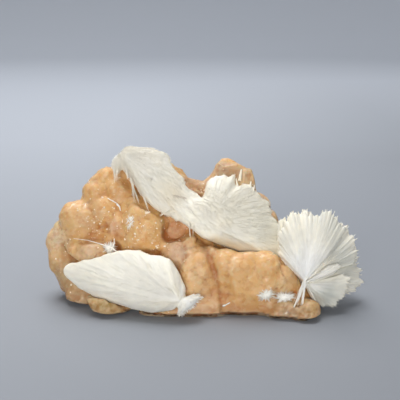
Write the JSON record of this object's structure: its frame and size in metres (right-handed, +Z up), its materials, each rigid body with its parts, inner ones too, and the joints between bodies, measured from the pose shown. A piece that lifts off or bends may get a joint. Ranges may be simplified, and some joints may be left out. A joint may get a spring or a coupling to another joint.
{
  "type": "mineral specimen",
  "caption": "Free-standing mineral specimen: white fibrous scolecite fans on lumpy honey-coloured stilbite with a sawn flat base.",
  "frame": {"origin": "on the sawn flat base, near its middle", "axes": "+X to the specimen's right as it faces you, along its longest side; -Y is its front; +Z up"},
  "size_m": [0.1799, 0.087, 0.0856],
  "materials": {
    "stilbite": "waxy to vitreous, slightly see-through crystal faces",
    "scolecite": "silky, fibrous, slightly see-through at the edges"
  },
  "bodies": {
    "root": {"stilbite_matrix": "stilbite", "scolecite_upper_fans": "scolecite", "scolecite_lower_fan": "scolecite", "scolecite_flower": "scolecite", "scolecite_tuft_ledge": "scolecite", "scolecite_tuft_ball": "scolecite", "scolecite_tuft_block_left": "scolecite", "scolecite_tuft_block_right": "scolecite"}
  },
  "joints": []
}
